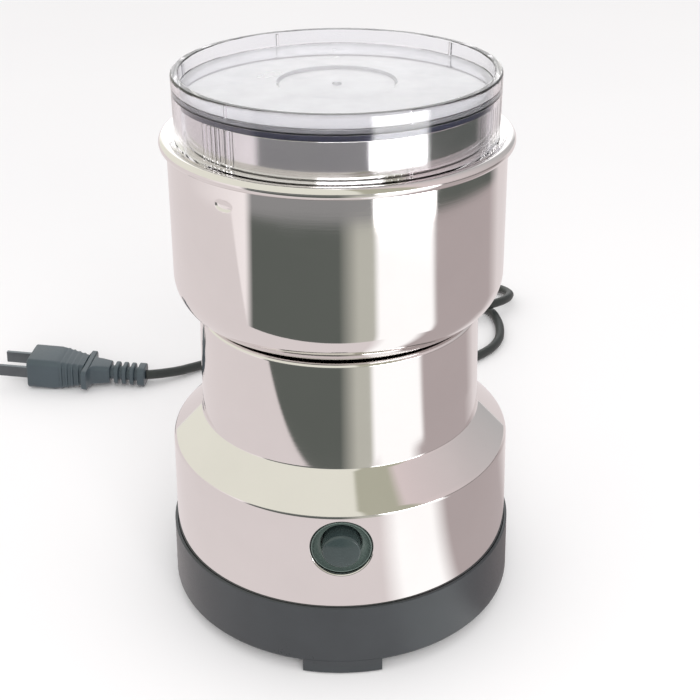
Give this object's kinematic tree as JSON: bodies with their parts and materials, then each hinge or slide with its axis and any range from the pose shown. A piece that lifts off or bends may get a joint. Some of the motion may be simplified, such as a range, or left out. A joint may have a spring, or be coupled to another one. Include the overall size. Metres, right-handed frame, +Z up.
{
  "type": "electric grain mill",
  "caption": "Small electric blade mill with a polished steel body, a round push button, a steel grinding bowl under a clear lid, and a coiled mains cord with a flat-bladed plug.",
  "frame": {"origin": "under the middle of the body, on the surface that the feet stand on", "axes": "+Z up along the rotor's axis, the button on the side that faces -Y, the cord leaving on the side that faces +Y"},
  "size_m": [0.2404, 0.2947, 0.1778],
  "materials": {
    "polished_steel": "mirror-polished stainless sheet",
    "bowl_steel": "polished outside, satin inside",
    "clear_plastic": "clear, glossy",
    "dark_seal": "satin",
    "base_plastic": "satin moulded",
    "pad_rubber": "matte",
    "button_plastic": "glossy",
    "collar_plastic": "satin",
    "inner_plastic": "glass-filled, matte",
    "fan_plastic": "matte",
    "zinc_steel": "zinc plated",
    "core_steel": "stacked laminations",
    "copper_wire": "lacquered copper wire",
    "bronze": "sintered",
    "carbon": "pressed carbon",
    "wire_cover": "smooth",
    "cord_plastic": "smooth, satin",
    "plug_plastic": "smooth, satin",
    "plated_brass": "nickel plated"
  },
  "bodies": {
    "housing": {"outer_bowl": "polished_steel", "grinding_bowl": "bowl_steel", "body_shell": "polished_steel", "base_cover": "base_plastic", "foot_pads": "pad_rubber", "shell_lugs": "zinc_steel", "base_screws": "zinc_steel", "button_collar": "collar_plastic", "button_spring": "zinc_steel", "switch_body": "inner_plastic", "bowl_support": "inner_plastic", "bowl_screws": "zinc_steel", "motor_top_bracket": "inner_plastic", "motor_bottom_bracket": "inner_plastic", "motor_screws": "zinc_steel", "stator_core": "core_steel", "field_coils": "copper_wire", "upper_bearing": "bronze", "lower_bearing": "bronze", "shaft_seal": "dark_seal", "brush_holders": "bronze", "carbon_brushes": "carbon", "brush_springs": "zinc_steel", "cord_gland": "cord_plastic", "supply_lead": "cord_plastic", "cord_clamp": "inner_plastic", "clamp_screws": "zinc_steel", "wires": "wire_cover", "cord_to_coil": "cord_plastic", "cord_coil": "cord_plastic", "cord_to_plug": "cord_plastic", "coil_tie": "base_plastic", "plug_relief": "plug_plastic", "plug_body": "plug_plastic", "plug_pins": "plated_brass"},
    "lid": {"lid": "clear_plastic", "lid_seal": "dark_seal"},
    "rotor": {"motor_shaft": "zinc_steel", "armature_core": "core_steel", "armature_winding": "copper_wire", "commutator": "copper_wire", "cooling_fan": "fan_plastic", "blade_spacer": "zinc_steel", "blade": "bowl_steel", "blade_nut": "zinc_steel"},
    "button": {"button_cap": "button_plastic"}
  },
  "joints": [
    {"name": "lid_lift", "type": "slide", "parent": "housing", "child": "lid", "axis": [0, 0, 1], "range_m": [0, 0.06]},
    {"name": "rotor_spin", "type": "hinge", "parent": "housing", "child": "rotor", "pos_m": [0, 0, 0.1], "axis": [0, 0, 1], "continuous": true},
    {"name": "button_press", "type": "slide", "parent": "housing", "child": "button", "axis": [0, 1, 0], "range_m": [0, 0.003], "stiffness_N_per_m": 500, "springref_m": -0.002, "deforming": ["button_spring"]}
  ]
}
